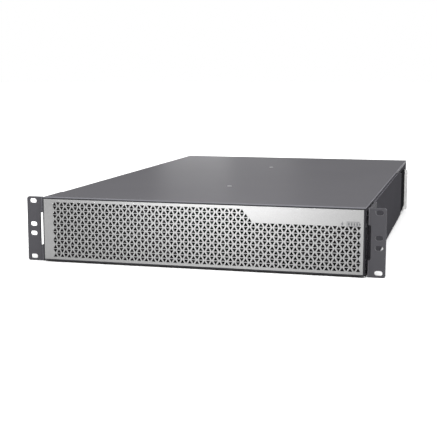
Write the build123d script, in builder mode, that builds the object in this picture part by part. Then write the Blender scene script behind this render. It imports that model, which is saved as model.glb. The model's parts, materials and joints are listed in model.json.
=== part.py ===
"""2U lithium-ion uninterruptible power supply for a 19-inch rack.

Millimetres, +Z up, the front faces -Y, origin at the bottom centre of the whole unit.
"""
import os
from math import sqrt

from build123d import *

# ---- driving dimensions ----------------------------------------------------------------
FRONT_Y = -353.4          # front of the bezel plate
EAR_Y = -347.0            # front of the rack ears
REAR_Y = 346.8            # outer face of the rear panels
BACK_Y = 353.4            # tip of the rear thumbscrews
HALF_W = 216.0            # half width over the cover, tray and bezel
BASE_Z = 2.4              # underside of the tray
TOP_Z = 87.3              # top of the cover
COVER_T = 1.0
SHEET = 1.2
FLOOR_Z = BASE_Z + SHEET
TRAY_TOP = TOP_Z - COVER_T
WALL_TOP = 83.3           # top of the tray sides, just under the cover's lips
TRAY_FRONT = -343.6
INNER_X = HALF_W - SHEET

EAR_T = 3.0
EAR_H = 87.5
EAR_OUT = 241.2
EAR_IN = 219.0            # inner face of the ear legs and outer face of the side plates
EAR_LEG = 71.0
EAR_LEG_TOP = 86.0
SLOT_X = 232.55
SLOT_W, SLOT_H = 10.2, 6.2
U_MID = EAR_H / 2
SLOT_Z = [U_MID + dz for dz in (-38.1, -6.35, 6.35, 38.1)]
WINDOW_Z = (21.5, 66.0)
WINDOW_OUT = 222.6

BEZEL_Z = (2.2, 87.2)
GRILLE_W, GRILLE_H, GRILLE_T = 428.0, 81.5, 0.8
GRILLE_MID_Z = 44.75
TRI_SIDE = 5.6
TRI_STEP_X = 4.957
TRI_STEP_Z = 5.78
TRI_COLS, TRI_ROWS = 83, 13
TRI_FIRST_X, TRI_TOP_Z = -198.3, 79.2
SHORT_ROWS = 3            # upper rows that stop early, leaving a plain band
SHORT_COLS = 53           # columns in the first of them, one more in each next row

SCREW_R = 2.0
SCREW_CLEAR = 0.1
COVER_SCREW_X = -6.5
COVER_SCREW_Y = (-156.0, 148.0)
DIMPLE_R, DIMPLE_D = 6.8, 0.7
SIDE_SCREWS = [(-326.0, 13.0), (-326.0, 70.0), (-290.0, 13.0), (-290.0, 70.0)]
BRACKET_SCREWS = [(318.0, 20.0), (318.0, 60.0)]
BRACKET_Y = (273.0, 340.0)
BRACKET_T = 2.0
BRACKET_OUT = 224.3

FRAME_Y = -333.0          # front of the battery frame
BATTERY_X = 203.0
BATTERY_Z = (5.2, 82.2)
BATTERY_REAR = -42.0
THUMBSCREWS = [(x, z) for x in (-206.6, 206.6) for z in (9.0, 78.0)]
CELL_R, CELL_H = 13.0, 65.0
BULKHEAD_Y = -14.0
BOARD_Z = 12.0

FAN_X = (-180.0, -118.0)
FAN_Z = 45.0
FAN_SIZE, FAN_DEPTH = 60.0, 25.0
FAN_BORE, ROTOR_R, HUB_R = 28.6, 27.6, 15.0
FAN_REAR = REAR_Y - SHEET

INLET_X, INLET_Z = -62.0, 63.0
HEAVY_Z = 25.0
BREAKER_X, BREAKER_Z = -33.0, 63.0
POWER_X, POWER_Z = -33.0, 34.0
EARTH_Z = 13.0
BANK_X = (-20.0, 112.0)
BANK_Z = (25.0, 63.0)
BANK_H = 27.0
CARD_X = (115.5, 211.5)
CARD_Z = (46.0, 82.0)
PORT_X, PORT_Z = 148.0, 63.0


# ---- helpers ---------------------------------------------------------------------------
def facing(y, x=0.0, z=0.0):
    """Plane at depth y whose local x runs right and local y runs up; it faces the front."""
    return Plane(origin=(x, y, z), x_dir=(1, 0, 0), z_dir=(0, -1, 0))


def side_on(x):
    """Plane at width x whose local x runs back and local y runs up; it faces right."""
    return Plane(origin=(x, 0, 0), x_dir=(0, 1, 0), z_dir=(1, 0, 0))


def block(x, y, z, mode=Mode.ADD):
    """Rectangular block between three pairs of limits, in the part being built."""
    middle = ((x[0] + x[1]) / 2, (y[0] + y[1]) / 2, (z[0] + z[1]) / 2)
    with Locations(middle):
        Box(abs(x[1] - x[0]), abs(y[1] - y[0]), abs(z[1] - z[0]), mode=mode)


def rod(start, radius, length, axis="Y", mode=Mode.ADD):
    """Cylinder that starts at a point and runs along +X, +Y or +Z."""
    turn = {"X": (0, 90, 0), "Y": (-90, 0, 0), "Z": (0, 0, 0)}[axis]
    lowest = (Align.CENTER, Align.CENTER, Align.MIN)
    with Locations(Location(start, turn)):
        Cylinder(radius, length, align=lowest, mode=mode)


def both(x):
    """A pair of limits and its mirror image across the middle of the unit."""
    return (x, (-x[0], -x[1]))


PARTS = []


def keep(part, label):
    """Name a finished part and put it on the list to be written."""
    part.label = label
    PARTS.append(part)


# ---- chassis ---------------------------------------------------------------------------
with BuildPart() as chassis_tray:
    block((-HALF_W, HALF_W), (TRAY_FRONT, REAR_Y), (BASE_Z, WALL_TOP))
    block((-INNER_X, INNER_X), (-400, 400), (FLOOR_Z, 100), Mode.SUBTRACT)
    for side in (-1, 1):
        for y, z in SIDE_SCREWS + BRACKET_SCREWS:
            rod((side * HALF_W - 5, y, z), SCREW_R + SCREW_CLEAR, 10, "X", Mode.SUBTRACT)
keep(chassis_tray.part, "chassis_tray")

with BuildPart() as top_cover:
    block((-HALF_W, HALF_W), (TRAY_FRONT, REAR_Y), (TRAY_TOP, TOP_Z))
    for lip in both((INNER_X, HALF_W)):
        block(lip, (TRAY_FRONT, REAR_Y), (WALL_TOP + 0.1, TRAY_TOP))
    fillet(top_cover.faces().sort_by(Axis.Z)[-1].edges(), 0.8)
    with Locations(*[(COVER_SCREW_X, y, TOP_Z) for y in COVER_SCREW_Y]):
        Cone(DIMPLE_R - 2.2, DIMPLE_R, DIMPLE_D, align=(Align.CENTER, Align.CENTER, Align.MAX),
             mode=Mode.SUBTRACT)
        Hole(SCREW_R + SCREW_CLEAR)
    for dimple in both((-211.9, -209.1)):
        block(dimple, (-301.0, -298.2), (TRAY_TOP - 1, TOP_Z + 1), Mode.SUBTRACT)
    for x in (-174.0, -87.0, 0.0, 87.0, 174.0, 207.0):
        block((x - 3.5, x + 3.5), (-334.2, -332.8), (TRAY_TOP - 1, TOP_Z + 1), Mode.SUBTRACT)
keep(top_cover.part, "top_cover")

with BuildPart() as cover_screws:
    for y in COVER_SCREW_Y:
        rod((COVER_SCREW_X, y, TOP_Z - DIMPLE_D), 3.4, DIMPLE_D - 0.05, "Z")
        rod((COVER_SCREW_X, y, TOP_Z - 4.2), SCREW_R, 4.2 - DIMPLE_D, "Z")
        block((COVER_SCREW_X - 2, COVER_SCREW_X + 2), (y - 0.4, y + 0.4),
              (TOP_Z - 0.5, TOP_Z + 1), Mode.SUBTRACT)
        block((COVER_SCREW_X - 0.4, COVER_SCREW_X + 0.4), (y - 2, y + 2),
              (TOP_Z - 0.5, TOP_Z + 1), Mode.SUBTRACT)
keep(cover_screws.part, "cover_screws")

with BuildPart() as cover_braces:
    for y in COVER_SCREW_Y:
        block((-INNER_X, INNER_X), (y - 8, y + 8), (TRAY_TOP - SHEET, TRAY_TOP))
        for leg in both((INNER_X - SHEET, INNER_X)):
            block(leg, (y - 8, y + 8), (70.0, TRAY_TOP - SHEET))
        rod((COVER_SCREW_X, y, TRAY_TOP - 2), SCREW_R + 0.05, 4, "Z", Mode.SUBTRACT)
keep(cover_braces.part, "cover_braces")

with BuildPart() as side_plates:
    for side in (-1, 1):
        with BuildSketch(side_on(side * HALF_W)):
            with BuildLine():
                Polyline((-332.5, 4.5), (189.0, 4.5), (193.0, 8.5), (193.0, 78.0),
                         (124.0, 85.5), (-274.0, 85.5), (-274.0, 76.0), (-332.5, 76.0), close=True)
            make_face()
            with Locations(*SIDE_SCREWS):
                Circle(SCREW_R + SCREW_CLEAR, mode=Mode.SUBTRACT)
        extrude(amount=side * (EAR_IN - HALF_W))
keep(side_plates.part, "side_plates")


def side_screw(side, face_x, y, z, grow=0.0, mode=Mode.ADD):
    """Countersunk screw, or the seat for one, entering a side face at width face_x."""
    outermost = (Align.CENTER, Align.CENTER, Align.MAX)
    with Locations(Location((side * face_x, y, z), (0, side * 90, 0))):
        Cylinder(SCREW_R + grow, 7.0, align=outermost, mode=mode)
        Cone(SCREW_R + grow, 3.9 + grow, 1.9, align=outermost, mode=mode)


def rack_ear(side):
    """One angled rack ear: front flange with four slots, side leg, window at the bend."""
    with BuildPart() as ear:
        with BuildSketch(Plane.XY):
            with BuildLine():
                Polyline((side * EAR_IN, EAR_Y), (side * EAR_OUT, EAR_Y),
                         (side * EAR_OUT, EAR_Y + EAR_T), (side * (EAR_IN + EAR_T), EAR_Y + EAR_T),
                         (side * (EAR_IN + EAR_T), EAR_Y + EAR_LEG),
                         (side * EAR_IN, EAR_Y + EAR_LEG), close=True)
            make_face()
        extrude(amount=EAR_H)
        block((side * 210.0, side * (EAR_IN + EAR_T)), (EAR_Y + EAR_T, 0.0), (EAR_LEG_TOP, 90.0),
              Mode.SUBTRACT)
        bend = ear.edges().filter_by(Axis.Z).sort_by_distance((side * EAR_IN, EAR_Y, U_MID))[0]
        fillet(bend, 1.5)
        outer = [e for e in ear.edges().filter_by(Axis.Y) if abs(e.center().X) > EAR_OUT - 0.1]
        fillet(outer, 3.0)
        with BuildSketch(facing(EAR_Y)):
            with Locations(*[(side * SLOT_X, z) for z in SLOT_Z]):
                SlotOverall(SLOT_W, SLOT_H)
        extrude(amount=-EAR_T, mode=Mode.SUBTRACT)
        block((side * 210.0, side * WINDOW_OUT), (EAR_Y - 5, EAR_Y + 14), WINDOW_Z, Mode.SUBTRACT)
        for y, z in SIDE_SCREWS:
            side_screw(side, EAR_IN + EAR_T, y, z, SCREW_CLEAR, Mode.SUBTRACT)
    return ear.part


keep(rack_ear(-1), "rack_ear_left")
keep(rack_ear(1), "rack_ear_right")

with BuildPart() as guide_blocks:
    for limits in both((HALF_W, EAR_IN)):
        block(limits, (195.0, BRACKET_Y[0] - 1.0), (10.0, 77.0))
    fillet(guide_blocks.edges().filter_by(Axis.X), 3.0)
keep(guide_blocks.part, "guide_blocks")

with BuildPart() as rear_brackets:
    bracket_face = HALF_W + BRACKET_T
    for side in (-1, 1):
        block((side * HALF_W, side * bracket_face), BRACKET_Y, (2.5, 70.0))
        block((side * HALF_W, side * BRACKET_OUT), (BRACKET_Y[0], BRACKET_Y[0] + BRACKET_T),
              (2.5, 76.5))
    ends = [e for e in rear_brackets.edges().filter_by(Axis.Y)
            if abs(e.center().X) > BRACKET_OUT - 0.1]
    fillet(ends, 3.0)
    for side in (-1, 1):
        for y, z in BRACKET_SCREWS:
            side_screw(side, bracket_face, y, z, SCREW_CLEAR, Mode.SUBTRACT)
keep(rear_brackets.part, "rear_brackets")

with BuildPart() as side_screws:
    for side in (-1, 1):
        for y, z in SIDE_SCREWS:
            side_screw(side, EAR_IN + EAR_T, y, z)
        for y, z in BRACKET_SCREWS:
            side_screw(side, bracket_face, y, z)
keep(side_screws.part, "side_screws")

with BuildPart() as chassis_pads:
    with Locations(*[(x, y, 0) for x in (-190, 190) for y in (-320, 320)]):
        Cylinder(10.0, BASE_Z, align=(Align.CENTER, Align.CENTER, Align.MIN))
keep(chassis_pads.part, "chassis_pads")

with BuildPart() as front_frame:
    block((-INNER_X, INNER_X), (FRAME_Y, FRAME_Y + SHEET), (FLOOR_Z, TRAY_TOP))
    block((-BATTERY_X - 1, BATTERY_X + 1), (FRAME_Y - 1, FRAME_Y + 2), (4.4, 83.0), Mode.SUBTRACT)
    for side in both((INNER_X - SHEET, INNER_X)):
        block(side, (FRAME_Y + SHEET, FRAME_Y + 10), (FLOOR_Z, 69.0))
    for x, z in THUMBSCREWS:
        rod((x, FRAME_Y - 1, z), 2.1, 4, mode=Mode.SUBTRACT)
keep(front_frame.part, "front_frame")

with BuildPart() as middle_bulkhead:
    block((-INNER_X, INNER_X), (BULKHEAD_Y, BULKHEAD_Y + SHEET), (FLOOR_Z, 85.0))
    block((-INNER_X, INNER_X), (BULKHEAD_Y + SHEET, BULKHEAD_Y + 10), (FLOOR_Z, FLOOR_Z + SHEET))
    block((-31.0, 31.0), (BULKHEAD_Y - 1, BULKHEAD_Y + 2), (30.0, 56.0), Mode.SUBTRACT)
    with BuildSketch(facing(BULKHEAD_Y)):
        with Locations((-120, 44), (120, 44)):
            with GridLocations(12, 12, 11, 5):
                Rectangle(8, 8)
    extrude(amount=-SHEET, mode=Mode.SUBTRACT)
keep(middle_bulkhead.part, "middle_bulkhead")

with BuildPart() as battery_receptacle:
    block((-30.0, 30.0), (-27.0, -4.0), (31.0, 55.0))
    block((-36.0, 36.0), (BULKHEAD_Y - 3, BULKHEAD_Y), (27.0, 59.0))
    for x in (-18.0, 18.0):
        block((x - 9.5, x + 9.5), (-28.0, -8.0), (34.0, 52.0), Mode.SUBTRACT)
keep(battery_receptacle.part, "battery_receptacle")

# ---- bezel -----------------------------------------------------------------------------
with BuildPart() as bezel_frame:
    block((-HALF_W, HALF_W), (FRONT_Y + 0.5, -344.6), BEZEL_Z)
    fillet(bezel_frame.edges().filter_by(Axis.Z), 0.8)
    block((-GRILLE_W / 2 - 0.1, GRILLE_W / 2 + 0.1), (-360, FRONT_Y + GRILLE_T),
          (GRILLE_MID_Z - GRILLE_H / 2 - 0.1, GRILLE_MID_Z + GRILLE_H / 2 + 0.1), Mode.SUBTRACT)
    block((-209.0, 209.0), (-360, -340), (7.6, 82.2), Mode.SUBTRACT)
    for notch in both((208.0, 217.0)):
        block(notch, (-350.6, -340.0), (23.0, 63.0), Mode.SUBTRACT)
keep(bezel_frame.part, "bezel_frame")


def triangle_centres(pointing_up):
    """Centres of the triangular holes that point up, or of those that point down."""
    centres = []
    for row in range(TRI_ROWS):
        count = SHORT_COLS + row if row < SHORT_ROWS else TRI_COLS
        z = TRI_TOP_Z - row * TRI_STEP_Z
        wanted = row % 2 if pointing_up else 1 - row % 2
        centres += [(TRI_FIRST_X + col * TRI_STEP_X, z) for col in range(wanted, count, 2)]
    return centres


with BuildPart() as bezel_grille:
    radius = TRI_SIDE / sqrt(3)
    with BuildSketch(facing(FRONT_Y)):
        with Locations((0, GRILLE_MID_Z)):
            Rectangle(GRILLE_W, GRILLE_H)
        with Locations(*[(x, z - radius / 4) for x, z in triangle_centres(True)]):
            RegularPolygon(radius, 3, rotation=90, mode=Mode.SUBTRACT)
        with Locations(*[(x, z + radius / 4) for x, z in triangle_centres(False)]):
            RegularPolygon(radius, 3, rotation=-90, mode=Mode.SUBTRACT)
    extrude(amount=-GRILLE_T)
keep(bezel_grille.part, "bezel_grille")

with BuildPart() as bezel_filter:
    block((-208.8, 208.8), (FRONT_Y + GRILLE_T, FRONT_Y + GRILLE_T + 1.5), (7.8, 82.0))
keep(bezel_filter.part, "bezel_filter")


def bezel_latch(side):
    """Squeeze latch in the side of the bezel, with an arm that reaches into the chassis."""
    with BuildPart() as latch:
        block((side * 213.0, side * 216.5), (-350.2, -345.0), (23.6, 62.4))
        block((side * 211.6, side * 213.0), (-349.0, -337.0), (34.0, 52.0))
        block((side * 213.0, side * 213.8), (-340.0, -337.0), (34.0, 52.0))
        for z in range(28, 61, 4):
            block((side * 216.0, side * 217.0), (-349.4, -345.8), (z - 0.8, z + 0.8), Mode.SUBTRACT)
    return latch.part


keep(bezel_latch(-1), "bezel_latch_left")
keep(bezel_latch(1), "bezel_latch_right")

# ---- battery module --------------------------------------------------------------------
CASE_Y = (FRAME_Y, BATTERY_REAR)
CELL_PITCH = 27.4
CELL_GRID_Y = -206.0

with BuildPart() as battery_case:
    block((-BATTERY_X, BATTERY_X), CASE_Y, BATTERY_Z)
    block((-BATTERY_X + SHEET, BATTERY_X - SHEET), (CASE_Y[0] - 1, CASE_Y[1] - SHEET),
          (BATTERY_Z[0] + SHEET, BATTERY_Z[1] - SHEET), Mode.SUBTRACT)
    block((-25.0, 25.0), (CASE_Y[1] - 3, CASE_Y[1] + 1), (33.0, 53.0), Mode.SUBTRACT)
keep(battery_case.part, "battery_case")

with BuildPart() as battery_faceplate:
    block((-209.5, 209.5), (FRAME_Y - 1.6, FRAME_Y), (3.9, 83.6))
    for x, z in THUMBSCREWS:
        rod((x, FRAME_Y - 3, z), 2.1, 6, mode=Mode.SUBTRACT)
    with BuildSketch(facing(FRAME_Y)):
        with Locations((-140, 44), (140, 44)):
            with GridLocations(14, 10, 7, 5):
                Rectangle(9, 3.6)
    extrude(amount=1.6, mode=Mode.SUBTRACT)
keep(battery_faceplate.part, "battery_faceplate")

with BuildPart() as battery_handle:
    for x in (-70.0, 70.0):
        block((x - 4, x + 4), (-348.6, FRAME_Y - 1.6), (38.0, 50.0))
    block((-74.0, 74.0), (-348.6, -344.6), (38.0, 50.0))
    fillet(battery_handle.edges().filter_by(Axis.X), 1.2)
keep(battery_handle.part, "battery_handle")

with BuildPart() as battery_thumbscrews:
    for x, z in THUMBSCREWS:
        rod((x, FRAME_Y - 1.6, z), 2.0, 3.6)
        rod((x, FRAME_Y - 8.6, z), 2.8, 7.0)
keep(battery_thumbscrews.part, "battery_thumbscrews")

with BuildPart() as battery_cells:
    with Locations((0, CELL_GRID_Y, BATTERY_Z[0] + SHEET + 4.0)):
        with GridLocations(CELL_PITCH, CELL_PITCH, 14, 8):
            Cylinder(CELL_R, CELL_H, align=(Align.CENTER, Align.CENTER, Align.MIN))
keep(battery_cells.part, "battery_cells")

with BuildPart() as management_board:
    block((-170.0, 170.0), (-72.0, -70.4), (10.0, 76.0))
    for x in range(-150, 151, 50):
        block((x - 12, x + 12), (-76.0, -72.0), (40.0, 52.0))
keep(management_board.part, "management_board")

with BuildPart() as battery_plug:
    block((-28.0, 28.0), (-52.0, -44.4), (32.0, 54.0))
    block((-24.0, 24.0), (-44.4, -40.0), (34.0, 52.0))
    for x in (-18.0, 18.0):
        block((x - 3, x + 3), (-40.0, -16.0), (36.0, 50.0))
keep(battery_plug.part, "battery_plug")

# ---- power electronics -----------------------------------------------------------------
BOARD_TOP = BOARD_Z + 1.6
BOARD_POSTS = [(x, y) for x in (-190, 0, 190) for y in (12, 140, 268)]

with BuildPart() as main_board:
    block((-200.0, 200.0), (2.0, 280.0), (BOARD_Z, BOARD_TOP))
    with Locations(*[(x, y, BOARD_Z) for x, y in BOARD_POSTS]):
        Cylinder(1.6, 8, mode=Mode.SUBTRACT)
keep(main_board.part, "main_board")

with BuildPart() as board_standoffs:
    with BuildSketch(Plane.XY.offset(FLOOR_Z)):
        with Locations(*BOARD_POSTS):
            RegularPolygon(3.5, 6)
    extrude(amount=BOARD_Z - FLOOR_Z)
keep(board_standoffs.part, "board_standoffs")

with BuildPart() as heat_sinks:
    for side in (-1, 1):
        block((side * 92.0, side * 97.0), (20.0, 230.0), (BOARD_TOP, 72.0))
        for z in range(18, 71, 6):
            block((side * 97.0, side * 140.0), (20.0, 230.0), (z, z + 1.6))
keep(heat_sinks.part, "heat_sinks")

with BuildPart() as power_transistors:
    for side in (-1, 1):
        for y in range(36, 220, 30):
            block((side * 87.0, side * 92.0), (y - 8, y + 8), (26.0, 47.0))
            for dy in (-5.4, 0.0, 5.4):
                block((side * 89.0, side * 89.8), (y + dy - 0.6, y + dy + 0.6), (BOARD_TOP, 26.0))
keep(power_transistors.part, "power_transistors")

with BuildPart() as transformer_core:
    block((-35.0, 35.0), (150.0, 206.0), (BOARD_TOP, 68.0))
    for x in both((11.0, 26.0)):
        block(x, (140, 210), (24.0, 58.0), Mode.SUBTRACT)
keep(transformer_core.part, "transformer_core")

with BuildPart() as transformer_winding:
    block((-25.0, 25.0), (143.0, 213.0), (25.0, 57.0))
    block((-11.0, 11.0), (150.0, 206.0), (20.0, 60.0), Mode.SUBTRACT)
keep(transformer_winding.part, "transformer_winding")

with BuildPart() as chokes:
    for x, y in ((-58.0, 50.0), (0.0, 50.0), (58.0, 50.0)):
        rod((x, y, BOARD_TOP), 22.0, 24.0, "Z")
        rod((x, y, BOARD_TOP - 1), 9.0, 30.0, "Z", Mode.SUBTRACT)
    fillet(chokes.edges().filter_by(GeomType.CIRCLE), 3.0)
keep(chokes.part, "chokes")

with BuildPart() as capacitors:
    with Locations((0, 106, BOARD_TOP)):
        with GridLocations(28, 28, 5, 2):
            Cylinder(12.5, 45, align=(Align.CENTER, Align.CENTER, Align.MIN))
keep(capacitors.part, "capacitors")

with BuildPart() as relays:
    for x in (-60.0, -20.0, 20.0, 60.0):
        block((x - 14, x + 14), (236.0, 250.0), (BOARD_TOP, 40.0))
keep(relays.part, "relays")

with BuildPart() as input_filter:
    block((-76.0, -30.0), (286.0, 318.0), (FLOOR_Z, 40.0))
    block((-77.2, -76.0), (286.0, 318.0), (FLOOR_Z, 12.0))
keep(input_filter.part, "input_filter")

with BuildPart() as control_board:
    block((150.0, 151.6), (40.0, 240.0), (BOARD_TOP, 74.0))
    for y in range(60, 230, 40):
        block((151.6, 154.0), (y - 9, y + 9), (36.0, 54.0))
keep(control_board.part, "control_board")

with BuildPart() as busbars:
    for x in both((12.0, 24.0)):
        block(x, (-4.0, 18.0), (41.0, 44.0))
        block(x, (15.0, 18.0), (BOARD_TOP, 41.0))
keep(busbars.part, "busbars")

# ---- rear panels -----------------------------------------------------------------------
PANEL_Y = (FAN_REAR, REAR_Y)


def rear_panel(x):
    """Plain rear sheet between two widths, with a foot along the chassis floor."""
    block(x, PANEL_Y, (FLOOR_Z, TRAY_TOP))
    block(x, (PANEL_Y[0] - 8, PANEL_Y[0]), (FLOOR_Z, FLOOR_Z + SHEET))


def fan_screw_points():
    """Centres of the eight fan screws."""
    return [(x + dx, FAN_Z + dz) for x in FAN_X for dx in (-25, 25) for dz in (-25, 25)]


with BuildPart() as fan_panel:
    rear_panel((-INNER_X, -84.4))
    with BuildSketch(facing(REAR_Y)):
        with Locations(*[(x, FAN_Z) for x in FAN_X]):
            for count, radius in ((6, 7.0), (12, 13.6), (18, 20.2), (24, 26.6)):
                with PolarLocations(radius, count):
                    Circle(2.4)
        with Locations(*fan_screw_points()):
            Circle(2.1)
    extrude(amount=SHEET, mode=Mode.SUBTRACT)
keep(fan_panel.part, "fan_panel")

with BuildPart() as fan_frames:
    for x in FAN_X:
        block((x - 30, x + 30), (FAN_REAR - FAN_DEPTH, FAN_REAR), (FAN_Z - 30, FAN_Z + 30))
        rod((x, FAN_REAR - FAN_DEPTH - 1, FAN_Z), FAN_BORE, FAN_DEPTH + 2, mode=Mode.SUBTRACT)
        rod((x, FAN_REAR - 4.0, FAN_Z), HUB_R, 4.0)
        for turn in (45, 135):
            with Locations(Location((x, FAN_REAR - 2.0, FAN_Z), (0, turn, 0))):
                Box(2 * FAN_BORE + 2, 4.0, 3.0)
    for x, z in fan_screw_points():
        rod((x, FAN_REAR - FAN_DEPTH - 1, z), 2.1, FAN_DEPTH + 2, mode=Mode.SUBTRACT)
keep(fan_frames.part, "fan_frames")


def fan_rotor(x):
    """Seven-bladed rotor with its hub, turning about the fan axis."""
    with BuildPart() as rotor:
        rod((x, FAN_REAR - FAN_DEPTH + 2, FAN_Z), HUB_R, FAN_DEPTH - 7)
        for i in range(7):
            turn = Rot(0, i * 360 / 7, 0)
            blade = Pos(x, FAN_REAR - FAN_DEPTH / 2 - 1.5, FAN_Z) * turn * Pos(20.6, 0, 0)
            with Locations(blade * Rot(35, 0, 0)):
                Box(12.6, 17.0, 1.4)
        fillet(rotor.faces().sort_by(Axis.Y)[0].edges(), 1.5)
    return rotor.part


keep(fan_rotor(FAN_X[0]), "fan_rotor_outer")
keep(fan_rotor(FAN_X[1]), "fan_rotor_inner")

with BuildPart() as fan_screws:
    for x, z in fan_screw_points():
        rod((x, REAR_Y - 14.0, z), SCREW_R, 14.0)
        rod((x, REAR_Y, z), 3.5, 1.8)
keep(fan_screws.part, "fan_screws")

with BuildPart() as power_panel:
    rear_panel((-84.2, 113.2))
    cuts = [((INLET_X - 17.2, INLET_X + 17.2), (INLET_Z - 12.7, INLET_Z + 12.7)),
            ((INLET_X - 18.7, INLET_X + 18.7), (HEAVY_Z - 14.7, HEAVY_Z + 14.7))]
    cuts += [((BANK_X[0] + 2, BANK_X[1] - 2), (z - BANK_H / 2 + 1.5, z + BANK_H / 2 - 1.5))
             for z in BANK_Z]
    for x, z in cuts:
        block(x, (PANEL_Y[0] - 1, PANEL_Y[1] + 1), z, Mode.SUBTRACT)
    rod((BREAKER_X, 340, BREAKER_Z), 6.6, 10, mode=Mode.SUBTRACT)
    rod((POWER_X, 340, POWER_Z), 6.3, 10, mode=Mode.SUBTRACT)
    rod((POWER_X, 340, EARTH_Z), 2.6, 10, mode=Mode.SUBTRACT)
keep(power_panel.part, "power_panel")

with BuildPart() as power_inlet:
    block((INLET_X - 19.5, INLET_X + 19.5), (REAR_Y, REAR_Y + 2.4), (INLET_Z - 15, INLET_Z + 15))
    block((INLET_X - 17, INLET_X + 17), (328.0, REAR_Y), (INLET_Z - 12.5, INLET_Z + 12.5))
    block((INLET_X - 15.2, INLET_X + 15.2), (331.4, 360.0), (INLET_Z - 10.7, INLET_Z + 10.7),
          Mode.SUBTRACT)
    corners = [e for e in power_inlet.edges().filter_by(Axis.Y)
               if abs(abs(e.center().X - INLET_X) - 15.2) < 0.1 and e.center().Z > INLET_Z]
    chamfer(corners, 3.5)
keep(power_inlet.part, "power_inlet")

with BuildPart() as inlet_pins:
    for dx, dz in ((-6.5, -4.0), (6.5, -4.0), (0.0, 4.5)):
        block((INLET_X + dx - 4, INLET_X + dx + 4), (331.4, 346.6),
              (INLET_Z + dz - 1, INLET_Z + dz + 1))
keep(inlet_pins.part, "inlet_pins")


def socket_groove(x, z, outer, core):
    """Groove round a socket core, from the face inward."""
    with BuildPart() as groove:
        block((x - outer[0] / 2, x + outer[0] / 2), (334.0, 352.0),
              (z - outer[1] / 2, z + outer[1] / 2))
        block((x - core[0] / 2, x + core[0] / 2), (333.0, 353.0),
              (z - core[1] / 2, z + core[1] / 2), Mode.SUBTRACT)
    return groove.part


def bank_centres():
    """Centres of the eight standard outlets."""
    pitch = (BANK_X[1] - BANK_X[0]) / 4
    return [(BANK_X[0] + pitch * (i + 0.5), z) for z in BANK_Z for i in range(4)]


with BuildPart() as outlet_banks:
    for z in BANK_Z:
        block(BANK_X, (REAR_Y, REAR_Y + 2.2), (z - BANK_H / 2, z + BANK_H / 2))
        block((BANK_X[0] + 2.2, BANK_X[1] - 2.2), (322.0, REAR_Y),
              (z - BANK_H / 2 + 1.7, z + BANK_H / 2 - 1.7))
    for x, z in bank_centres():
        add(socket_groove(x, z, (29.2, 21.2), (24.0, 15.6)), mode=Mode.SUBTRACT)
        for dx, dz in ((-7.0, -2.0), (7.0, -2.0), (0.0, 2.0)):
            block((x + dx - 1.2, x + dx + 1.2), (334.0, 352.0), (z + dz - 2.6, z + dz + 2.6),
                  Mode.SUBTRACT)
keep(outlet_banks.part, "outlet_banks")

with BuildPart() as high_current_outlet:
    block((INLET_X - 20.5, INLET_X + 20.5), (REAR_Y, REAR_Y + 2.2), (HEAVY_Z - 17, HEAVY_Z + 17))
    block((INLET_X - 18.5, INLET_X + 18.5), (322.0, REAR_Y), (HEAVY_Z - 14.5, HEAVY_Z + 14.5))
    add(socket_groove(INLET_X, HEAVY_Z, (34.8, 26.4), (29.6, 21.2)), mode=Mode.SUBTRACT)
    for dx, dz in ((-6.5, -4.0), (6.5, -4.0), (0.0, 4.5)):
        block((INLET_X + dx - 4.4, INLET_X + dx + 4.4), (334.0, 352.0),
              (HEAVY_Z + dz - 1.3, HEAVY_Z + dz + 1.3), Mode.SUBTRACT)
keep(high_current_outlet.part, "high_current_outlet")

with BuildPart() as input_breaker:
    block((BREAKER_X - 9, BREAKER_X + 9), (310.0, 345.6), (BREAKER_Z - 15, BREAKER_Z + 15))
    rod((BREAKER_X, 345.6, BREAKER_Z), 6.4, 3.2)
    rod((BREAKER_X, REAR_Y, BREAKER_Z), 8.0, 2.4)
    rod((BREAKER_X, 339.0, BREAKER_Z), 4.3, 20.0, mode=Mode.SUBTRACT)
keep(input_breaker.part, "input_breaker")

with BuildPart() as breaker_button:
    rod((BREAKER_X, 341.6, BREAKER_Z), 4.2, 10.4)
    chamfer(breaker_button.faces().sort_by(Axis.Y)[-1].edges(), 0.5)
keep(breaker_button.part, "breaker_button")

with BuildPart() as power_button:
    rod((POWER_X, 343.4, POWER_Z), 6.2, 5.2)
    rod((POWER_X, 342.6, POWER_Z), 8.0, 1.0)
    chamfer(power_button.faces().sort_by(Axis.Y)[-1].edges(), 0.4)
keep(power_button.part, "power_button")

with BuildPart() as earth_stud:
    rod((POWER_X, 336.0, EARTH_Z), 2.5, 16.6)
    for y in (PANEL_Y[0] - 4.0, REAR_Y):
        with BuildSketch(facing(y, POWER_X, EARTH_Z)):
            RegularPolygon(4.6, 6)
        extrude(amount=-4.0)
keep(earth_stud.part, "earth_stud")

with BuildPart() as comms_panel:
    rear_panel((113.4, INNER_X))
    block((127.0, 200.0), (340, 350), (48.5, 79.5), Mode.SUBTRACT)
    block((118.0, 168.0), (340, 350), (13.0, 38.0), Mode.SUBTRACT)
    block((178.7, 191.3), (340, 350), (26.7, 38.3), Mode.SUBTRACT)
    block((176.7, 193.3), (340, 350), (11.7, 21.3), Mode.SUBTRACT)
    for x in (121.0, 206.0):
        rod((x, 340, 64.0), 1.8, 10, mode=Mode.SUBTRACT)
    for z in (14.0, 24.0, 34.0):
        rod((203.0, 340, z), 1.8, 10, mode=Mode.SUBTRACT)
keep(comms_panel.part, "comms_panel")

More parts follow.
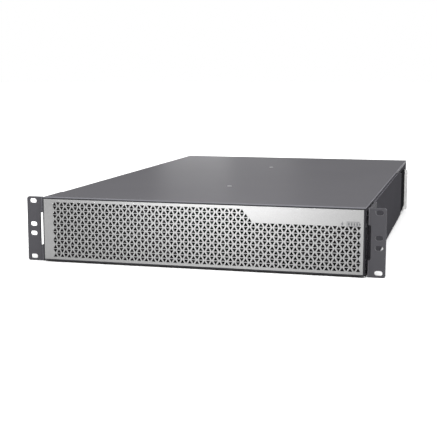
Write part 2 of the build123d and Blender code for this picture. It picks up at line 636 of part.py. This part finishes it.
with BuildPart() as network_faceplate:
    block(CARD_X, (REAR_Y, REAR_Y + SHEET), CARD_Z)
    block((PORT_X - 8.2, PORT_X + 8.2), (340, 350), (PORT_Z - 7.2, PORT_Z + 7.2), Mode.SUBTRACT)
    for x in (121.0, 206.0):
        rod((x, 340, 64.0), 1.8, 10, mode=Mode.SUBTRACT)
    block((130.0, 197.0), (250.0, 345.0), (53.0, 54.6))
    block((130.0, 136.0), (345.0, REAR_Y), (53.0, 54.6))
    block((191.0, 197.0), (345.0, REAR_Y), (53.0, 54.6))
keep(network_faceplate.part, "network_faceplate")

with BuildPart() as network_port:
    block((PORT_X - 8, PORT_X + 8), (328.0, REAR_Y + 1.8), (PORT_Z - 7, PORT_Z + 7))
    block((PORT_X - 5.9, PORT_X + 5.9), (332.0, 352.0), (PORT_Z - 5.5, PORT_Z + 2.6), Mode.SUBTRACT)
    block((PORT_X - 3.0, PORT_X + 3.0), (332.0, 352.0), (PORT_Z + 2.0, PORT_Z + 5.2), Mode.SUBTRACT)
keep(network_port.part, "network_port")

with BuildPart() as network_thumbscrews:
    for x in (121.0, 206.0):
        rod((x, 341.0, 64.0), 1.7, 8.0)
        rod((x, REAR_Y + SHEET, 64.0), 4.5, BACK_Y - REAR_Y - SHEET)
    chamfer(network_thumbscrews.edges().group_by(Axis.Y)[-1], 0.5)
keep(network_thumbscrews.part, "network_thumbscrews")

with BuildPart() as battery_socket:
    block((115.5, 170.5), (REAR_Y, REAR_Y + 3.0), (10.5, 40.5))
    block((118.4, 167.6), (318.0, REAR_Y), (13.4, 37.6))
    for x in (130.0, 143.0, 156.0):
        block((x - 1.8, x + 1.8), (335.0, 352.0), (17.0, 34.0), Mode.SUBTRACT)
keep(battery_socket.part, "battery_socket")

with BuildPart() as usb_port:
    block((179.0, 191.0), (330.0, REAR_Y + 0.8), (27.0, 38.0))
    block((180.5, 189.5), (334.0, 352.0), (28.5, 36.5), Mode.SUBTRACT)
    block((182.2, 187.8), (334.0, REAR_Y - 0.6), (30.6, 34.0))
keep(usb_port.part, "usb_port")

with BuildPart() as emergency_off_terminal:
    block((177.0, 193.0), (332.0, REAR_Y + 2.0), (12.0, 21.0))
    for x in (181.0, 189.0):
        block((x - 1.7, x + 1.7), (338.0, 352.0), (14.2, 18.8), Mode.SUBTRACT)
keep(emergency_off_terminal.part, "emergency_off_terminal")

with BuildPart() as status_lights:
    for z in (14.0, 24.0, 34.0):
        rod((203.0, 341.0, z), 1.7, 6.4)
        rod((203.0, 341.0, z), 2.6, 4.6)
    fillet(status_lights.edges().group_by(Axis.Y)[-1], 0.5)
keep(status_lights.part, "status_lights")

# ---- output ----------------------------------------------------------------------------
os.makedirs("parts", exist_ok=True)
for finished in PARTS:
    export_step(finished, f"parts/{finished.label}.step")
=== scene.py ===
"""Looks of the 2U lithium-ion uninterruptible power supply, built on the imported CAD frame."""
import json
import math

import bmesh
import bpy
from mathutils import Matrix, Vector

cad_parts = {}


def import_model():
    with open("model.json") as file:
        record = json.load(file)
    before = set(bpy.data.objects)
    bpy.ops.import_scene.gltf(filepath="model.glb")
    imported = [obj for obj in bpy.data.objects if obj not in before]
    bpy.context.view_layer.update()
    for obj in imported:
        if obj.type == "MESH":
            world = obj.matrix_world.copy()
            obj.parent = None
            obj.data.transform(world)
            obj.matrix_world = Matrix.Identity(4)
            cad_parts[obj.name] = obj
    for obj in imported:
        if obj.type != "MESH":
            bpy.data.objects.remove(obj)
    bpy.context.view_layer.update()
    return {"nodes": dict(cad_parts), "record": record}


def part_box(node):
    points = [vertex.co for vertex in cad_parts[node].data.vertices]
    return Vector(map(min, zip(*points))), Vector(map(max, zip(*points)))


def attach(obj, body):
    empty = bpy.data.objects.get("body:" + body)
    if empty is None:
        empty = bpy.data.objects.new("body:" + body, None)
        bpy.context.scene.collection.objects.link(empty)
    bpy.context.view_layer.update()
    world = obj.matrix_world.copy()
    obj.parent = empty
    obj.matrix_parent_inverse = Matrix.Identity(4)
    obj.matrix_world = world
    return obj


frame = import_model()
NODES = frame["nodes"]
SLOT_OF = {s["node"]: s["material_slot"] for s in frame["record"]["subparts"]}
COLOUR = {m["slot"]: m["base_color"][:3] for m in frame["record"]["materials"]}
# colours set under this light, in place of the record's
COLOUR.update({
    "grey_paint": (0.06, 0.0585, 0.065),
    "ear_paint": (0.053, 0.052, 0.057),
    "silver_paint": (0.19, 0.19, 0.19),
    "bezel_plastic": (0.027, 0.027, 0.03),
    "bright_zinc": (0.8, 0.8, 0.79),
    "zinc": (0.42, 0.42, 0.41),
    "bare_steel": (0.26, 0.26, 0.262),
    "nickel": (0.4, 0.39, 0.37),
    "white_plastic": (0.5, 0.5, 0.49),
    # filter foam near black: painted shade seen through the grille's holes
    "filter_foam": (0.003, 0.003, 0.003),
    # black plastic near black: the guide blocks in it are painted shade between the side plates
    # and the rear brackets
    "black_plastic": (0.012, 0.012, 0.013),
})

# camera, solved from points of the object in the reference picture, in metres
EYE = Vector((0.34424, -1.54911, 0.25192))
YAW, PITCH = math.radians(14.783), math.radians(-8.191)
LENS_MM, SENSOR_MM = 80.39, 36.0
CLIP_NEAR, CLIP_FAR = 0.05, 60.0

HORIZON, ZENITH = 0.0, 2.4     # brightness of the studio low down and overhead
SEEN_BACKGROUND = 1.0          # brightness of the background in the picture
WHITE = (1.0, 1.0, 1.0)
FLOOR_RADIUS = 25.0

EDGE_RADIUS = 0.0005           # rounding of painted edges as the light sees it
MIX_A, MIX_B, MIX_OUT = 6, 7, 2     # colour sockets of a Mix node


# ---- node helpers ----------------------------------------------------------------------
class Look:
    """A material under construction: its tree, its shader and shared object coordinates."""

    def __init__(self, name, colour, rough, metal=0.0):
        self.mat = bpy.data.materials.new(name)
        self.mat.use_nodes = True
        self.tree = self.mat.node_tree
        self.shader = self.tree.nodes["Principled BSDF"]
        self.shader.inputs["Base Color"].default_value = (*colour, 1)
        self.shader.inputs["Roughness"].default_value = rough
        self.shader.inputs["Metallic"].default_value = metal
        self.coords = self.add("ShaderNodeTexCoord").outputs["Object"]
        self.normal = None

    def add(self, kind, **settings):
        """A new node of a kind, with its settings."""
        node = self.tree.nodes.new(kind)
        for key, value in settings.items():
            setattr(node, key, value)
        return node

    def link(self, output, socket):
        self.tree.links.new(output, socket)

    def scaled(self, scale):
        """Object coordinates stretched by a scale for each axis."""
        mapping = self.add("ShaderNodeMapping")
        mapping.inputs["Scale"].default_value = scale
        self.link(self.coords, mapping.inputs["Vector"])
        return mapping.outputs["Vector"]

    def noise(self, scale, detail=2.0, vector=None):
        """Cloudy noise from 0 to 1; scale is in features per metre."""
        node = self.add("ShaderNodeTexNoise")
        node.inputs["Scale"].default_value = scale
        node.inputs["Detail"].default_value = detail
        self.link(vector or self.coords, node.inputs["Vector"])
        return node.outputs["Fac"]

    def cells(self, scale, feature="F1", output="Distance"):
        """Cell pattern: the distance within a cell, or a value of its own for each cell."""
        node = self.add("ShaderNodeTexVoronoi", feature=feature)
        node.inputs["Scale"].default_value = scale
        self.link(self.coords, node.inputs["Vector"])
        return node.outputs[output]

    def bands(self, scale, direction, distortion):
        """Parallel waves across the object."""
        node = self.add("ShaderNodeTexWave", bands_direction=direction)
        node.inputs["Scale"].default_value = scale
        node.inputs["Distortion"].default_value = distortion
        self.link(self.coords, node.inputs["Vector"])
        return node.outputs["Fac"]

    def remap(self, value, low, high, from_low=0.0, from_high=1.0):
        """A value carried from one range to another, and held inside it."""
        node = self.add("ShaderNodeMapRange")
        node.inputs["From Min"].default_value = from_low
        node.inputs["From Max"].default_value = from_high
        node.inputs["To Min"].default_value = low
        node.inputs["To Max"].default_value = high
        self.link(value, node.inputs["Value"])
        return node.outputs["Result"]

    def tint(self, value, dark, light, low=0.3, high=0.7):
        """Base colour that runs from dark to light with a value."""
        ramp = self.add("ShaderNodeValToRGB")
        ramp.color_ramp.elements[0].position = low
        ramp.color_ramp.elements[0].color = (*dark, 1)
        ramp.color_ramp.elements[1].position = high
        ramp.color_ramp.elements[1].color = (*light, 1)
        self.link(value, ramp.inputs["Fac"])
        self.link(ramp.outputs["Color"], self.shader.inputs["Base Color"])
        return ramp.outputs["Color"]

    def calc(self, operation, *values):
        """The result of a Math node on one or two values."""
        node = self.add("ShaderNodeMath", operation=operation)
        for value, socket in zip(values, node.inputs):
            self.link(value, socket)
        return node.outputs["Value"]

    def axes(self, vector):
        """The three parts of a vector, by axis."""
        node = self.add("ShaderNodeSeparateXYZ")
        self.link(vector, node.inputs["Vector"])
        return node.outputs

    def facing(self, axis):
        """How much the surface faces one axis of the object, from -1 to 1."""
        return self.axes(self.add("ShaderNodeTexCoord").outputs["Normal"])[axis]

    def blend(self, amount, first, second):
        """Base colour between two, each the output of a node or plain numbers."""
        mix = self.add("ShaderNodeMix", data_type="RGBA")
        self.link(amount, mix.inputs["Factor"])
        for colour, socket in ((first, mix.inputs[MIX_A]), (second, mix.inputs[MIX_B])):
            if isinstance(colour, tuple):
                socket.default_value = (*colour, 1)
            else:
                self.link(colour, socket)
        self.link(mix.outputs[MIX_OUT], self.shader.inputs["Base Color"])

    def painted_edge_highlight(self, colour, light):
        """Rounded edges, with a painted highlight where they face no single axis squarely."""
        rounded = self.add("ShaderNodeBevel", samples=4)
        rounded.inputs["Radius"].default_value = EDGE_RADIUS
        self.normal = rounded.outputs["Normal"]
        local = self.add("ShaderNodeVectorTransform", vector_type="NORMAL",
                         convert_from="WORLD", convert_to="OBJECT")
        self.link(self.normal, local.inputs["Vector"])
        parts = self.axes(local.outputs["Vector"])
        x, y, z = (self.calc("ABSOLUTE", parts[axis]) for axis in "XYZ")
        squareness = self.calc("MAXIMUM", self.calc("MAXIMUM", x, y), z)
        # painted highlight: lighter where the rounded normal faces no axis squarely
        self.blend(self.remap(squareness, 1.0, 0.0, from_low=0.92, from_high=0.99),
                   colour, light)

    def painted_wall_shade(self, colour, dark):
        """Painted shade: a darker colour where the surface doesn't face the front or the back.
        """
        depth = self.calc("ABSOLUTE", self.facing("Y"))
        # painted shade: darker on walls that face sideways, such as the walls of the holes
        self.blend(self.remap(depth, 0.0, 1.0, from_low=0.3, from_high=0.6), dark, colour)

    def painted_top_light(self, colour, light):
        """Painted light: a lighter colour on what faces up."""
        # painted light: lighter where the surface faces up
        self.blend(self.remap(self.facing("Z"), 0.0, 1.0, from_low=0.5, from_high=0.9),
                   colour, light)

    def roughness(self, value, low, high):
        """Roughness that runs from low to high with a value."""
        self.link(self.remap(value, low, high), self.shader.inputs["Roughness"])

    def bump(self, height, strength, distance):
        """Relief up to a distance in metres, on top of any rounded edges."""
        node = self.add("ShaderNodeBump")
        node.inputs["Strength"].default_value = strength
        node.inputs["Distance"].default_value = distance
        self.link(height, node.inputs["Height"])
        if self.normal is not None:
            self.link(self.normal, node.inputs["Normal"])
        self.normal = node.outputs["Normal"]
        self.link(self.normal, self.shader.inputs["Normal"])


def shade(colour, factor):
    """A colour made lighter or darker by a factor."""
    return tuple(min(1.0, c * factor) for c in colour)


# ---- finishes --------------------------------------------------------------------------
def powder_coat(slot, rough, shine, edge_highlight):
    """Satin powder coat: fine orange peel, slight mottling, and a painted highlight on edges."""
    look = Look(slot, COLOUR[slot], rough)
    c = COLOUR[slot]
    coat = look.tint(look.noise(scale=9.0, detail=4.0), shade(c, 0.97), shade(c, 1.03))
    # painted highlight on the rounded edges
    look.painted_edge_highlight(coat, shade(c, edge_highlight))
    look.bump(look.noise(scale=900.0), strength=0.25, distance=0.00006)
    look.shader.inputs["Specular IOR Level"].default_value = shine
    return look


def silver_paint(slot):
    """Silver metallic paint with fine flakes; the walls of the holes get painted shade."""
    look = Look(slot, COLOUR[slot], rough=0.3, metal=0.9)
    c = COLOUR[slot]
    flakes = look.tint(look.cells(scale=2600.0, output="Color"),
                       shade(c, 0.93), shade(c, 1.08), low=0.1, high=0.9)
    look.roughness(look.noise(scale=90.0, detail=3.0), 0.28, 0.32)
    look.bump(look.noise(scale=1500.0), strength=0.1, distance=0.00004)
    # painted shade on the walls of the grille's holes
    look.painted_wall_shade(flakes, shade(c, 0.05))
    return look


def brushed(slot, rough, stretch=(900.0, 30.0, 900.0), metal=1.0):
    """Rolled or brushed metal: fine lines, or grain if the stretch is even, and faint stains."""
    look = Look(slot, COLOUR[slot], rough, metal)
    c = COLOUR[slot]
    lines = look.noise(scale=1.0, detail=3.0, vector=look.scaled(stretch))
    look.tint(look.noise(scale=25.0, detail=4.0), shade(c, 0.86), shade(c, 1.06))
    look.roughness(lines, rough - 0.08, rough + 0.12)
    look.bump(lines, strength=0.2, distance=0.00005)
    return look


def spangled(slot, metal=0.85):
    """Zinc: pale crystals of slightly different tone, soft shine."""
    look = Look(slot, COLOUR[slot], 0.38, metal)
    c = COLOUR[slot]
    crystals = look.cells(scale=420.0, output="Color")
    look.tint(crystals, shade(c, 0.92), shade(c, 1.06), low=0.1, high=0.9)
    look.roughness(crystals, 0.38, 0.48)
    look.bump(look.noise(scale=1200.0), strength=0.12, distance=0.00005)
    return look


def moulded(slot, rough=0.5, grain=1400.0, depth=0.25, shine=0.3, painted_top_light=1.0):
    """Moulded plastic: spark-eroded texture, slight flow marks and painted light on top by a
    factor.
    """
    look = Look(slot, COLOUR[slot], rough)
    c = COLOUR[slot]
    body = look.tint(look.noise(scale=30.0, detail=3.0), shade(c, 0.88), shade(c, 1.12))
    # painted light on the faces that look up
    look.painted_top_light(body, shade(c, painted_top_light))
    look.roughness(look.noise(scale=200.0), rough - 0.06, rough + 0.08)
    look.bump(look.cells(grain), strength=depth, distance=0.00008)
    look.shader.inputs["Specular IOR Level"].default_value = shine
    return look


def glossy(slot, rough=0.2):
    """Smooth glossy plastic or sleeve with faint ripple."""
    look = Look(slot, COLOUR[slot], rough)
    c = COLOUR[slot]
    look.tint(look.noise(scale=40.0), shade(c, 0.92), shade(c, 1.08))
    look.roughness(look.noise(scale=150.0), rough - 0.05, rough + 0.08)
    look.bump(look.noise(scale=120.0), strength=0.1, distance=0.0002)
    look.shader.inputs["Coat Weight"].default_value = 0.3
    return look


def circuit_board(slot):
    """Solder mask with lighter traces."""
    look = Look(slot, COLOUR[slot], 0.35)
    c = COLOUR[slot]
    traces = look.cells(scale=160.0, feature="DISTANCE_TO_EDGE")
    look.tint(traces, shade(c, 1.8), c, low=0.02, high=0.06)
    look.bump(traces, strength=0.2, distance=0.0001)
    return look


def winding(slot):
    """Enamelled copper wire in close turns."""
    look = Look(slot, COLOUR[slot], rough=0.28, metal=0.4)
    c = COLOUR[slot]
    turns = look.bands(scale=160.0, direction="DIAGONAL", distortion=0.4)
    look.tint(turns, shade(c, 0.5), shade(c, 1.2))
    look.bump(turns, strength=0.6, distance=0.0006)
    return look


def foam(slot):
    """Open-cell filter foam, nearly black as painted shade for the grille's holes in front of
    it.
    """
    look = Look(slot, COLOUR[slot], 0.95)
    c = COLOUR[slot]
    pores = look.cells(scale=700.0)
    look.tint(pores, shade(c, 0.3), shade(c, 1.5), low=0.2, high=0.8)
    look.bump(pores, strength=0.8, distance=0.0006)
    look.shader.inputs["Specular IOR Level"].default_value = 0.1
    return look


def light_lens(slot):
    """Slightly clear lens of an indicator."""
    look = glossy(slot, rough=0.15)
    look.shader.inputs["Transmission Weight"].default_value = 0.35
    return look


FINISH = {
    # the last number of each paint is how much lighter its painted highlight on the edges is
    "grey_paint": lambda s: powder_coat(s, rough=0.42, shine=0.035, edge_highlight=3.0),
    "dark_paint": lambda s: powder_coat(s, rough=0.6, shine=0.0, edge_highlight=7.0),
    "ear_paint": lambda s: powder_coat(s, rough=0.6, shine=0.02, edge_highlight=2.5),
    "silver_paint": silver_paint,
    "bright_zinc": lambda s: spangled(s, metal=0.25),
    "zinc": spangled,
    "bare_steel": spangled,
    "nickel": lambda s: brushed(s, rough=0.26),
    "aluminium": lambda s: brushed(s, rough=0.4, stretch=(900.0, 12.0, 900.0)),
    "brass": lambda s: brushed(s, rough=0.3),
    "copper": lambda s: brushed(s, rough=0.3),
    "copper_winding": winding,
    "ferrite": lambda s: moulded(s, rough=0.7, grain=900.0, depth=0.4),
    "black_screw": lambda s: brushed(s, rough=0.42, stretch=(600.0, 600.0, 600.0), metal=0.6),
    "black_plastic": lambda s: moulded(s, rough=0.6, shine=0.0),
    # the bezel's top faces get painted light, four times its colour
    "bezel_plastic": lambda s: moulded(s, rough=0.55, grain=1600.0, depth=0.2, shine=0.03,
                                       painted_top_light=4.0),
    "grey_plastic": lambda s: moulded(s, rough=0.4),
    "white_plastic": lambda s: glossy(s, rough=0.3),
    "filter_foam": foam,
    "rubber": lambda s: moulded(s, rough=0.75, grain=700.0, depth=0.4),
    "board_green": circuit_board,
    "black_epoxy": lambda s: moulded(s, rough=0.55, grain=1000.0),
    "capacitor_sleeve": glossy,
    "cell_sleeve": glossy,
    "terminal_green": lambda s: moulded(s, rough=0.45),
    "light_lens": light_lens,
}
MATERIAL = {slot: make(slot).mat for slot, make in FINISH.items()}

for name, node in NODES.items():
    node.data.materials.clear()
    node.data.materials.append(MATERIAL[SLOT_OF[name]])


# ---- printed mark ----------------------------------------------------------------------
INK_THICKNESS = 0.00002
SIDE_MARGIN = 0.004            # from the grille's right edge to the battery's nose
TOP_MARGIN = 0.0151            # from the grille's top edge to the battery
BATTERY_LENGTH, BATTERY_HEIGHT, NOSE_LENGTH = 0.0156, 0.0062, 0.0014
OUTLINE, NOSE_GAP, NOSE_INSET = 0.0007, 0.0002, 0.0019
BARS, BAR_WIDTH, BAR_PITCH, BAR_INSET_X, BAR_INSET_Z = 4, 0.0021, 0.0034, 0.0016, 0.0014
BOLT_GAP = 0.0055
BOLT = [(0.0009, 0.0033), (-0.0019, -0.0006), (-0.0003, -0.0006), (-0.0009, -0.0033),
        (0.0019, 0.0006), (0.0003, 0.0006)]


def flat_piece(bm, outline, front, back):
    """A thin slab with the given outline in X and Z, between two depths."""
    ring = [bm.verts.new((x, front, z)) for x, z in outline]
    face = bm.faces.new(ring)
    made = bmesh.ops.extrude_face_region(bm, geom=[face])["geom"]
    moved = [v for v in made if isinstance(v, bmesh.types.BMVert)]
    bmesh.ops.translate(bm, vec=(0, back - front, 0), verts=moved)


def rectangle(x0, x1, z0, z1):
    """Corners of a rectangle in X and Z."""
    return [(x0, z0), (x1, z0), (x1, z1), (x0, z1)]


def battery_mark():
    """Generic battery symbol with a bolt beside it, printed on the plain band of the grille."""
    grille_low, grille_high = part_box("bezel_grille")
    right, front = grille_high[0] - SIDE_MARGIN, grille_low[1]
    x1 = right - NOSE_LENGTH
    z1 = grille_high[2] - TOP_MARGIN
    x0, z0 = x1 - BATTERY_LENGTH, z1 - BATTERY_HEIGHT
    shapes = [
        rectangle(x0, x1, z0, z0 + OUTLINE),
        rectangle(x0, x1, z1 - OUTLINE, z1),
        rectangle(x0, x0 + OUTLINE, z0 + OUTLINE, z1 - OUTLINE),
        rectangle(x1 - OUTLINE, x1, z0 + OUTLINE, z1 - OUTLINE),
        rectangle(x1 + NOSE_GAP, right, z0 + NOSE_INSET, z1 - NOSE_INSET),
    ]
    for k in range(BARS):
        left = x0 + BAR_INSET_X + k * BAR_PITCH
        shapes.append(rectangle(left, left + BAR_WIDTH, z0 + BAR_INSET_Z, z1 - BAR_INSET_Z))
    shapes.append([(x0 - BOLT_GAP + x, (z0 + z1) / 2 + z) for x, z in BOLT])
    mesh = bpy.data.meshes.new("battery_mark")
    bm = bmesh.new()
    for outline in shapes:
        flat_piece(bm, outline, front - INK_THICKNESS, front)
    bmesh.ops.recalc_face_normals(bm, faces=bm.faces)
    bm.to_mesh(mesh)
    bm.free()
    mark = bpy.data.objects.new("battery_mark", mesh)
    bpy.context.scene.collection.objects.link(mark)
    ink = Look("grey_ink", (0.07, 0.07, 0.075), rough=0.6)
    ink.tint(ink.noise(scale=800.0), (0.06, 0.06, 0.065), (0.08, 0.08, 0.085))
    ink.bump(ink.noise(scale=2500.0), strength=0.1, distance=0.00002)
    mesh.materials.append(ink.mat)
    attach(mark, "bezel")


battery_mark()


# ---- scene -----------------------------------------------------------------------------
def camera():
    """The camera at its solved place."""
    data = bpy.data.cameras.new("camera")
    data.lens = LENS_MM
    data.sensor_width = SENSOR_MM
    data.clip_start, data.clip_end = CLIP_NEAR, CLIP_FAR
    cam = bpy.data.objects.new("camera", data)
    bpy.context.scene.collection.objects.link(cam)
    forward = Vector((-math.sin(YAW) * math.cos(PITCH), math.cos(YAW) * math.cos(PITCH),
                      math.sin(PITCH)))
    right = Vector((math.cos(YAW), math.sin(YAW), 0))
    up = right.cross(forward)
    turn = Matrix((right, up, -forward)).transposed()
    cam.matrix_world = Matrix.Translation(EYE) @ turn.to_4x4()
    bpy.context.scene.camera = cam


def floor():
    """Plain white floor under the object."""
    mesh = bpy.data.meshes.new("floor")
    bm = bmesh.new()
    bmesh.ops.create_circle(bm, cap_ends=True, radius=FLOOR_RADIUS, segments=96)
    bm.to_mesh(mesh)
    bm.free()
    plane = bpy.data.objects.new("floor", mesh)
    bpy.context.scene.collection.objects.link(plane)
    look = Look("floor", (0.93, 0.93, 0.93), rough=0.9)
    look.tint(look.noise(scale=3.0, detail=3.0), (0.925,) * 3, (0.935,) * 3)
    look.shader.inputs["Specular IOR Level"].default_value = 0.1
    mesh.materials.append(look.mat)


def area(name, place, target, size, watts):
    """A rectangular lamp aimed at a point; the camera doesn't see it."""
    data = bpy.data.lights.new(name, "AREA")
    data.shape = "RECTANGLE"
    data.size, data.size_y = size
    data.energy = watts
    lamp = bpy.data.objects.new(name, data)
    bpy.context.scene.collection.objects.link(lamp)
    lamp.location = place
    aim = Vector(target) - Vector(place)
    lamp.rotation_euler = aim.to_track_quat("-Z", "Y").to_euler()
    lamp.visible_camera = False


def world():
    """White to look at; as a light it is bright overhead and dim near the horizon."""
    scene_world = bpy.data.worlds.new("studio")
    bpy.context.scene.world = scene_world
    scene_world.use_nodes = True
    nodes, links = scene_world.node_tree.nodes, scene_world.node_tree.links
    direction = nodes.new("ShaderNodeTexCoord")
    parts = nodes.new("ShaderNodeSeparateXYZ")
    links.new(direction.outputs["Generated"], parts.inputs["Vector"])
    height = nodes.new("ShaderNodeMapRange")
    height.inputs["To Min"].default_value = HORIZON
    height.inputs["To Max"].default_value = ZENITH
    links.new(parts.outputs["Z"], height.inputs["Value"])
    ray = nodes.new("ShaderNodeLightPath")
    strength = nodes.new("ShaderNodeMix")
    links.new(ray.outputs["Is Camera Ray"], strength.inputs["Factor"])
    links.new(height.outputs["Result"], strength.inputs["A"])
    strength.inputs["B"].default_value = SEEN_BACKGROUND
    links.new(strength.outputs["Result"], nodes["Background"].inputs["Strength"])
    nodes["Background"].inputs["Color"].default_value = (*WHITE, 1)


# name, place, target, width and height, watts
LAMPS = [
    ("top", (0.6, -0.8, 1.4), (0.1, -0.2, 0.0), (1.2, 1.2), 8.0),
    ("floor_pool", (-0.05, -0.7, 0.5), (-0.05, -0.7, 0.0), (0.3, 0.2), 1.6),
    ("back_left", (-0.57, 1.6, 0.19), (-0.1, 0.2, 0.08), (0.22, 0.12), 0.5),
    ("back_centre", (-0.36, 1.6, 0.33), (-0.1, 0.2, 0.08), (0.25, 0.14), 0.2),
    ("front", (-0.46, -2.4, 0.06), (0.05, -0.35, 0.05), (0.35, 0.1), 12.0),
]

camera()
floor()
world()
for lamp in LAMPS:
    area(*lamp)
bpy.context.scene.view_settings.view_transform = "Standard"
